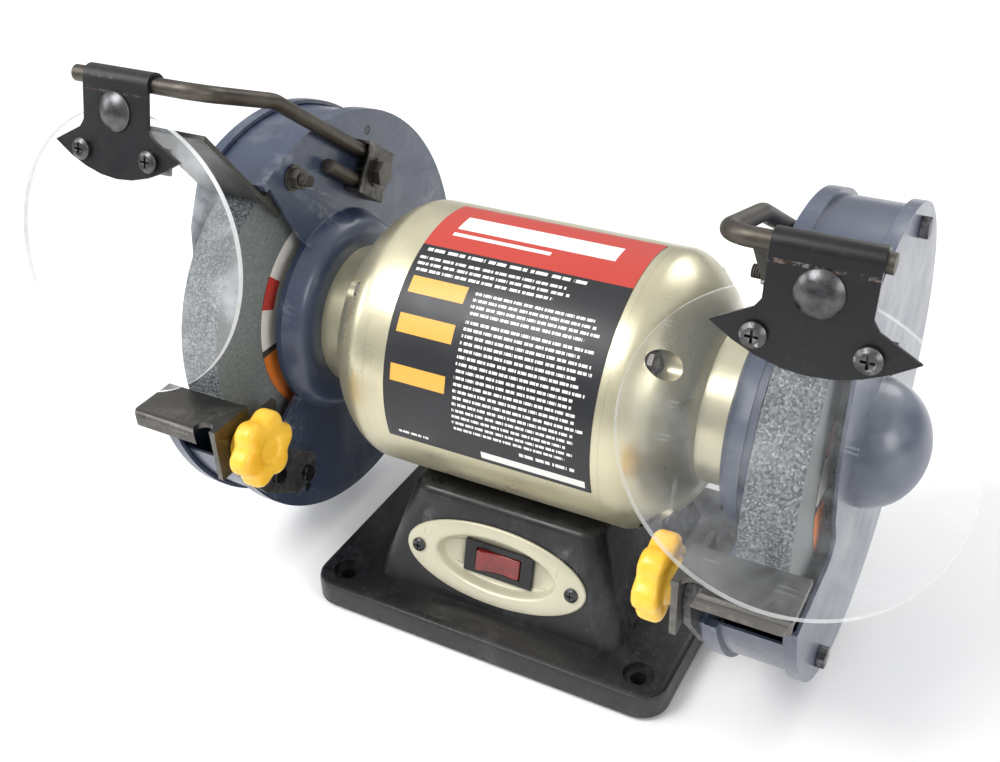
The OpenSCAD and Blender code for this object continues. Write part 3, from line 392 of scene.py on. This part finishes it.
def bracket_paint(side):
    """Gloss black, rubbed to steel and rust under the roll that turns on the rod."""
    s = Shader(side + "_bracket_black")
    _, axis_y, axis_z = JOINTS[side + "_shield_tilt"]["pos_m"]
    _, y, z = s.xyz()
    out = s.math("SUBTRACT", y, axis_y)
    up = s.math("SUBTRACT", z, axis_z)
    away = s.math("SQRT", s.math("ADD", s.math("MULTIPLY", out, out), s.math("MULTIPLY", up, up)))
    under = s.both(s.between(away, RUB_NEAR, RUB_FAR), s.math("LESS_THAN", up, RUB_BELOW))
    broken = s.span(s.noise(330, 7, 0.75), 0.50, 0.60, 0.0, RUB_STRENGTH[side])
    rub = s.math("MULTIPLY", under, broken)
    chips = s.both(s.worn_edges(0.54, 0.60), s.span(s.noise(420, 5, 0.7), 0.52, 0.6))
    bare = s.mix(s.span(s.noise(300, 4), 0.4, 0.6), (0.13, 0.055, 0.028), (0.28, 0.265, 0.245))
    tone = s.mix(s.noise(30, 4), (0.004, 0.004, 0.005), (0.010, 0.010, 0.012))
    tone = s.mix(s.math("MULTIPLY", s.dust(500, 0.03), 0.3), tone, (0.4, 0.39, 0.36))
    tone = s.mix(s.math("MAXIMUM", rub, s.math("MULTIPLY", chips, 0.6)), tone, bare)
    s.set(Base_Color=tone, Coat_Weight=0.12, Coat_Roughness=0.25, Specular_IOR_Level=0.35)
    s.set(Roughness=s.span(s.noise(50, 5, 0.7), 0.3, 0.7, 0.26, 0.48))
    s.set(Normal=s.bump(s.noise(500, 4), 0.1, RELIEF))
    return s.mat


THREAD_PITCH = 0.0009


def thread(name):
    """Dark bolt whose shank, along X, shows a fine screw thread, with painted highlights on its crests and
    painted shade in its roots.
    """
    s = Shader(name)
    x, _, _ = s.xyz()
    ridge = s.math("SINE", s.math("MULTIPLY", x, 2 * math.pi / THREAD_PITCH))
    # painted highlight and painted shade: crests lighter, roots darker, in step with the bump below
    tone = s.mix(s.span(ridge, -1.0, 1.0), (0.035, 0.032, 0.028), (0.17, 0.16, 0.145))
    s.set(Base_Color=tone, Metallic=1.0, Roughness=s.span(s.noise(200, 4), 0.3, 0.7, 0.35, 0.55))
    s.set(Normal=s.bump(ridge, 0.7, 0.0003))
    return s.mat


CHAMPAGNE = ((0.50, 0.465, 0.315), (0.66, 0.62, 0.445))
LOOKS = {
    "guard_paint": paint("guard_paint", (0.025, 0.036, 0.068), (0.042, 0.060, 0.110), 0.40, coat=0.45,
                         wear=(0.14, 0.16, 0.20), dust=0.2, smear=0.2),
    "motor_paint": paint("motor_paint", *CHAMPAGNE, 0.34, metallic=0.7, coat=0.15, grain=1500,
                         peel=0.08, dust=0.15, smear=0.25),
    "bezel_paint": paint("bezel_paint", (0.56, 0.535, 0.40), (0.68, 0.655, 0.50), 0.42, metallic=0.25,
                         grain=1500, dust=0.2),
    "base_paint": paint("base_paint", (0.007, 0.007, 0.009), (0.015, 0.015, 0.017), 0.34, peel=0.25,
                        wear=(0.09, 0.09, 0.095), dust=0.9, grain=900, smear=0.1),
    "support_black": paint("support_black", (0.015, 0.015, 0.016), (0.03, 0.03, 0.032), 0.4,
                           wear=(0.2, 0.19, 0.18), dust=0.4),
    "black_screw": metal("black_screw", (0.03, 0.03, 0.032), (0.10, 0.10, 0.105), 0.36, wear=(0.4, 0.4, 0.4)),
    "shield_screw": metal("shield_screw", (0.05, 0.05, 0.052), (0.16, 0.16, 0.165), 0.33,
                          wear=(0.5, 0.5, 0.5)),
    "dark_bolt": metal("dark_bolt", (0.06, 0.056, 0.05), (0.14, 0.13, 0.115), 0.42, rust=0.35),
    "clamp_steel": metal("clamp_steel", (0.045, 0.043, 0.040), (0.095, 0.09, 0.082), 0.42, rust=0.25,
                         wear=(0.25, 0.24, 0.22)),
    "rod_steel": metal("rod_steel", (0.062, 0.055, 0.046), (0.135, 0.122, 0.104), 0.44, rust=0.35,
                       mottle=60),
    "rest_steel": metal("rest_steel", (0.112, 0.108, 0.101), (0.150, 0.144, 0.135), 0.42, rust=0.04,
                        wear=(0.20, 0.19, 0.175), mottle=25),
    "deflector_steel": metal("deflector_steel", (0.085, 0.085, 0.083), (0.16, 0.16, 0.156), 0.5, rust=0.1,
                             mottle=35),
    "zinc_screw": metal("zinc_screw", (0.42, 0.42, 0.43), (0.62, 0.62, 0.62), 0.32),
    "plate_steel": metal("plate_steel", (0.35, 0.35, 0.36), (0.5, 0.5, 0.51), 0.4),
    "capacitor_can": metal("capacitor_can", (0.6, 0.6, 0.62), (0.75, 0.75, 0.76), 0.3),
    "copper_winding": metal("copper_winding", (0.45, 0.2, 0.07), (0.66, 0.32, 0.12), 0.35),
    "bearing_steel": metal("bearing_steel", (0.55, 0.55, 0.57), (0.7, 0.7, 0.72), 0.18, bump=0.05),
    "shaft_steel": metal("shaft_steel", (0.4, 0.4, 0.42), (0.58, 0.58, 0.6), 0.3, brushed=(1, 0.1, 0.1)),
    "stud_steel": metal("stud_steel", (0.42, 0.42, 0.42), (0.6, 0.6, 0.6), 0.32),
    "foot_rubber": plastic("foot_rubber", (0.012, 0.012, 0.012), (0.03, 0.03, 0.03), 0.75, bump=0.3),
    "switch_plastic": plastic("switch_plastic", (0.008, 0.008, 0.009), (0.018, 0.018, 0.020), 0.4),
    "bushing_plastic": plastic("bushing_plastic", (0.6, 0.6, 0.58), (0.75, 0.75, 0.72), 0.4),
    "knob_yellow": plastic("knob_yellow", (0.92, 0.48, 0.025), (1.0, 0.64, 0.08), 0.28, subsurface=0.12),
    "rocker_red": red_rocker(),
    "wheel_grit": grit(),
    "wheel_paper": wheel_paper(),
    "motor_label": motor_label(),
}
NODE_LOOKS = {
    "deflector_bolts": thread("deflector_thread"),
    "through_bolts": LOOKS["dark_bolt"],
}
for side, haze in (("left", 0.30), ("right", 0.09)):
    NODE_LOOKS[side + "_shield_lens"] = clear_sheet(side, haze)
    NODE_LOOKS[side + "_shield_bracket"] = bracket_paint(side)
    NODE_LOOKS[side + "_shield_backing"] = NODE_LOOKS[side + "_shield_bracket"]
# Edge materials of the shields, carrying a painted highlight; brighter and more opaque on the left
RIMS = {"left_shield_lens": sheet_rim("left", 0.95), "right_shield_lens": sheet_rim("right", 0.45)}


# ---------------------------------------------------------------- carried-over CAD nodes

# Edges sharper than this are rounded; faces flatter than the second angle are joined
SHARP = math.radians(32)
FLAT = math.radians(0.6)
# Vertices closer than this are one vertex, in metres
SAME_PLACE = 2e-6
# Width of the rounded edges, in mm
BEVEL = 0.25
NO_BEVEL = {"motor_label", "wheel_labels", "stator_core", "bearing_ball_cages", "wheel_bushings"}
BEVELS = {"base_housing": 0.9, "switch_rocker": 0.5, "left_wheel": 0.6, "right_wheel": 0.6,
          "left_end_bell": 0.5, "right_end_bell": 0.5, "left_guard": 0.35, "right_guard": 0.35,
          "left_guard_cover": 0.45, "right_guard_cover": 0.45, "left_tool_rest": 0.5,
          "right_tool_rest": 0.5, "switch_bezel": 0.35}


def soften(obj, width):
    """Joins the split vertices of a CAD mesh and rounds its hard edges, all as modifiers."""
    for attribute in list(obj.data.attributes):
        if attribute.name == "custom_normal":
            obj.data.attributes.remove(attribute)
    for face in obj.data.polygons:
        face.use_smooth = True
    weld = obj.modifiers.new("weld", "WELD")
    weld.merge_threshold = SAME_PLACE
    flat = obj.modifiers.new("flat", "DECIMATE")
    flat.decimate_type = "DISSOLVE"
    flat.angle_limit = FLAT
    if width:
        bevel = obj.modifiers.new("bevel", "BEVEL")
        bevel.width = width * MM
        bevel.segments = 2
        bevel.limit_method = "ANGLE"
        bevel.angle_limit = SHARP
        bevel.use_clamp_overlap = True
        bevel.miter_outer = "MITER_ARC"
    normals = obj.modifiers.new("normals", "WEIGHTED_NORMAL")
    normals.weight = 100
    normals.keep_sharp = True


def dress_nodes(skip):
    """Gives every CAD node that stays its material, its rim where it has one, and soft edges."""
    for part in frame["record"]["subparts"]:
        name = part["node"]
        if name in skip:
            continue
        obj = frame["nodes"][name]
        obj.data.materials.clear()
        obj.data.materials.append(NODE_LOOKS.get(name) or LOOKS[part["material_slot"]])
        if name in RIMS:
            mark_rim(obj, RIMS[name])
        soften(obj, 0 if name in NO_BEVEL else BEVELS.get(name, BEVEL))


def mark_rim(obj, look):
    """Gives the edge of a disc its own material: the faces that look away from its flat sides."""
    obj.data.materials.append(look)
    flat = max(obj.data.polygons, key=lambda f: f.area).normal.copy()
    for face in obj.data.polygons:
        if abs(face.normal.dot(flat)) < 0.5:
            face.material_index = 1


# ---------------------------------------------------------------- detailed pieces

def turns(count):
    """Equal steps round a full turn, in radians."""
    return [2 * math.pi * i / count for i in range(count)]


def ring_mesh(name, rings, close_start=None, close_end=None):
    """A skin over rings of equally many points; each end may be closed at a point."""
    mesh = bpy.data.meshes.new(name)
    count = len(rings[0])
    points = [p for ring in rings for p in ring]
    faces = []
    for r in range(len(rings) - 1):
        for i in range(count):
            j = (i + 1) % count
            faces.append((r * count + i, r * count + j, (r + 1) * count + j, (r + 1) * count + i))
    for tip, row in ((close_start, 0), (close_end, len(rings) - 1)):
        if tip is None:
            continue
        points.append(tip)
        for i in range(count):
            faces.append((row * count + i, row * count + (i + 1) % count, len(points) - 1))
    mesh.from_pydata([tuple(p) for p in points], [], faces)
    work = bmesh.new()
    work.from_mesh(mesh)
    bmesh.ops.recalc_face_normals(work, faces=work.faces)
    work.to_mesh(mesh)
    work.free()
    for face in mesh.polygons:
        face.use_smooth = True
    return mesh


def add_piece(name, mesh, look, body, slot, *replaced):
    """Puts a detailed piece on its body, in place of the CAD nodes it replaces."""
    obj = bpy.data.objects.new(name, mesh)
    bpy.context.collection.objects.link(obj)
    mesh.materials.append(look)
    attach(obj, body)
    if replaced:
        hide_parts(*replaced)
    return obj


# The clamp knob, in mm
LOBES = 6
LOBE_R = 16.4
LOBE_DIP = 2.7
HUB_R = 8.5
HUB_OFF = LOBE_R - HUB_R
KNOB_POINTS = 144
# Depth behind the face in mm, radius taken off, and share of the lobed outline kept
KNOB_RINGS = ((0.9, 11.6, 0.0), (0.9, 10.6, 0.0), (0.25, 10.2, 0.0), (0.0, 9.7, 0.05), (0.0, 4.4, 0.85),
              (0.15, 3.0, 1.0), (0.7, 1.5, 1.0), (1.6, 0.5, 1.0), (2.8, 0.05, 1.0), (4.0, 0.0, 1.0),
              (7.0, 0.0, 1.0), (8.2, 0.2, 1.0), (9.2, 0.9, 1.0), (9.8, 2.2, 1.0), (10.0, 5.0, 0.6),
              (10.1, HUB_OFF - 0.6, 0.0), (10.8, HUB_OFF, 0.0), (14.3, HUB_OFF, 0.0),
              (14.9, HUB_OFF + 0.6, 0.0))


def knob(side):
    """Moulded clamp knob with six round lobes, a ring on its face and a hub behind."""
    low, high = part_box(side + "_rest_knob")
    _, axis_y, axis_z = JOINTS[side + "_knob_turn"]["pos_m"]
    face_x, way = (high.x, -1) if side == "left" else (low.x, 1)

    def ring(depth, off, lobed):
        out = []
        for a in turns(KNOB_POINTS):
            dip = LOBE_DIP * lobed * abs(math.sin(LOBES * a / 2)) ** 3
            r = (LOBE_R - off - dip) * MM
            out.append((face_x + way * depth * MM, axis_y + r * math.cos(a), axis_z + r * math.sin(a)))
        return out

    rings = [ring(*row) for row in KNOB_RINGS]
    front = (face_x + way * KNOB_RINGS[0][0] * MM, axis_y, axis_z)
    back = (face_x + way * KNOB_RINGS[-1][0] * MM, axis_y, axis_z)
    mesh = ring_mesh(side + "_clamp_knob", rings, front, back)
    add_piece(side + "_clamp_knob", mesh, LOOKS["knob_yellow"], side + "_knob", "knob_yellow",
              side + "_rest_knob")


# The bezel's own frame: X along the shaft, Y up the sloping face, Z out of it; sizes in mm
ROCK = JOINTS["switch_rock"]
FACE_UP = Vector(ROCK["axis"]).normalized()
FACE_OUT = Vector((1, 0, 0)).cross(FACE_UP)
ROCKER_DEPTH = 4.6
FACE_AT = Vector(ROCK["pos_m"]) + FACE_OUT * ROCKER_DEPTH * MM
BEZEL_HALF = (43.5, 18.3)
BEZEL_TOP = 1.5
DISH_HALF = (29.0, 12.5)
DISH_FLOOR = -4.0
DISH_INWARDS = 2.6
# How far the rounded rim of the dish falls before its curve starts
DISH_LIP = 0.45
OPENING_HALF = (14.6, 7.1)
OPENING_DEPTH = 1.1
OVAL_POINTS = 120
# Share of the way from the rim of the dish to its floor, inwards and down
DISH_CURVE = ((0.0, 0.0), (0.12, 0.05), (0.3, 0.2), (0.5, 0.5), (0.7, 0.8), (0.88, 0.95), (1.0, 1.0))


def on_face(x, y, z):
    return FACE_AT + Vector((1, 0, 0)) * (x * MM) + FACE_UP * (y * MM) + FACE_OUT * (z * MM)


def oval(half, z):
    return [on_face(half[0] * math.cos(a), half[1] * math.sin(a), z) for a in turns(OVAL_POINTS)]


def rectangle(half, z):
    """The points of a rectangle on the same rays as an oval's."""
    out = []
    for a in turns(OVAL_POINTS):
        c, d = math.cos(a), math.sin(a)
        k = min(half[0] / abs(c) if c else 1e9, half[1] / abs(d) if d else 1e9)
        out.append(on_face(k * c, k * d, z))
    return out


def shrink(half, by):
    return (half[0] - by, half[1] - by)


def bezel():
    """Oval switch bezel: a flat ring with rounded edges that falls smoothly into a deep dish."""
    rings = [oval(shrink(BEZEL_HALF, 0.3), 0.05), oval(BEZEL_HALF, 0.35), oval(BEZEL_HALF, 0.8),
             oval(shrink(BEZEL_HALF, 0.25), 1.25), oval(shrink(BEZEL_HALF, 0.8), BEZEL_TOP),
             oval(shrink(DISH_HALF, -1.3), BEZEL_TOP), oval(shrink(DISH_HALF, -0.5), BEZEL_TOP - 0.12)]
    lip = BEZEL_TOP - DISH_LIP
    for share_in, share_down in DISH_CURVE:
        z = lip + (DISH_FLOOR - lip) * share_down
        rings.append(oval(shrink(DISH_HALF, DISH_INWARDS * share_in), z))
    rings += [rectangle(OPENING_HALF, DISH_FLOOR), rectangle(OPENING_HALF, DISH_FLOOR - OPENING_DEPTH)]
    mesh = ring_mesh("oval_bezel", rings)
    add_piece("oval_bezel", mesh, LOOKS["bezel_paint"], "frame", "bezel_paint", "switch_bezel")


# The raised marks on the bezel, in mm
MARK_R = 0.26
MARK_FLATNESS = 0.7
MARK_POINTS = 10
CIRCLE_AT = (-33.6, 7.2)
CIRCLE_R = 1.9
CIRCLE_POINTS = 32
BAR_AT = (29.4, 5.2)
BAR_LENGTH = 4.0
BAR_STEPS = 6


def raised_mark(name, path, closed):
    """A low raised line on the flat of the bezel."""
    rings = []
    count = len(path)
    for i, p in enumerate(path):
        before = path[i - 1] if closed or i else p
        after = path[(i + 1) % count] if closed or i < count - 1 else p
        along = (Vector(after) - Vector(before)).normalized()
        across = Vector((-along.y, along.x, 0))
        ring = []
        for a in turns(MARK_POINTS):
            rise = Vector((0, 0, MARK_FLATNESS * MARK_R * math.sin(a)))
            ring.append(on_face(*(Vector(p) + across * (MARK_R * math.cos(a)) + rise)))
        rings.append(ring)
    if closed:
        rings.append(rings[0])
        mesh = ring_mesh(name, rings)
    else:
        mesh = ring_mesh(name, rings, on_face(*path[0]), on_face(*path[-1]))
    add_piece(name, mesh, LOOKS["bezel_paint"], "frame", "bezel_paint")


def switch_marks():
    """The plain circle and bar for off and on."""
    circle = [(CIRCLE_AT[0] + CIRCLE_R * math.cos(a), CIRCLE_AT[1] + CIRCLE_R * math.sin(a), BEZEL_TOP)
              for a in turns(CIRCLE_POINTS)]
    raised_mark("off_circle", circle, True)
    bar = [(BAR_AT[0], BAR_AT[1] + BAR_LENGTH * i / BAR_STEPS, BEZEL_TOP) for i in range(BAR_STEPS + 1)]
    raised_mark("on_bar", bar, False)


for side in SIDES:
    knob(side)
bezel()
switch_marks()
dress_nodes(("left_rest_knob", "right_rest_knob", "switch_bezel"))


# ---------------------------------------------------------------- floor, light and camera

FLOOR_HALF = 3.0


def build_stage():
    """A plain pale floor."""
    mesh = bpy.data.meshes.new("floor")
    half = FLOOR_HALF
    corners = [(-half, -half, 0), (half, -half, 0), (half, half, 0), (-half, half, 0)]
    mesh.from_pydata(corners, [], [(0, 1, 2, 3)])
    floor = bpy.data.objects.new("floor", mesh)
    bpy.context.collection.objects.link(floor)
    s = Shader("floor_paper")
    s.set(Base_Color=(0.92, 0.92, 0.92), Roughness=0.9, Specular_IOR_Level=0.2)
    mesh.materials.append(s.mat)


def build_world():
    """A white studio: bright overhead, a little darker near the horizon."""
    world = bpy.data.worlds.new("studio")
    bpy.context.scene.world = world
    world.use_nodes = True
    tree = world.node_tree
    coords = tree.nodes.new("ShaderNodeTexCoord")
    split = tree.nodes.new("ShaderNodeSeparateXYZ")
    ramp = tree.nodes.new("ShaderNodeValToRGB")
    tree.links.new(coords.outputs["Generated"], split.inputs[0])
    tree.links.new(split.outputs[2], ramp.inputs[0])
    low, high = ramp.color_ramp.elements
    low.position, low.color = 0.05, (0.42, 0.43, 0.45, 1)
    high.position, high.color = 0.7, (1.0, 1.0, 1.0, 1)
    tree.links.new(ramp.outputs[0], tree.nodes["Background"].inputs[0])
    tree.nodes["Background"].inputs[1].default_value = 0.85


def area_light(name, at, target, size, power):
    data = bpy.data.lights.new(name, "AREA")
    data.shape = "DISK"
    data.size = size
    data.energy = power
    obj = bpy.data.objects.new(name, data)
    bpy.context.collection.objects.link(obj)
    obj.location = at
    obj.rotation_euler = (Vector(target) - Vector(at)).to_track_quat("-Z", "Y").to_euler()


def build_lights():
    """Four soft discs of light: over the operator, at both sides and behind."""
    middle = (0, 0, 0.1)
    area_light("key", (-0.6, -0.7, 1.3), middle, 0.7, 14)
    area_light("fill", (1.1, -0.5, 0.7), middle, 0.6, 5)
    area_light("back", (0.3, 1.2, 1.0), middle, 0.8, 6)
    area_light("side", (-1.1, -0.45, 0.6), middle, 0.6, 4)


CAMERA_AT = (0.1959, -0.3809, 0.3832)
AZIMUTH, ELEVATION, ROLL = (math.radians(a) for a in (29.66, 33.16, -2.46))
FOCAL_LENGTH = 42.8


def build_camera():
    """The photo's view: high on the operator's side, from the right."""
    data = bpy.data.cameras.new("camera")
    data.lens = FOCAL_LENGTH
    data.sensor_width = 36
    data.clip_start = 0.01
    obj = bpy.data.objects.new("camera", data)
    bpy.context.collection.objects.link(obj)
    turn = Matrix.Rotation(AZIMUTH, 4, "Z") @ Matrix.Rotation(math.pi / 2 - ELEVATION, 4, "X")
    obj.matrix_world = Matrix.Translation(CAMERA_AT) @ turn @ Matrix.Rotation(ROLL, 4, "Z")
    bpy.context.scene.camera = obj


build_stage()
build_world()
build_lights()
build_camera()
bpy.context.scene.view_settings.view_transform = "Standard"
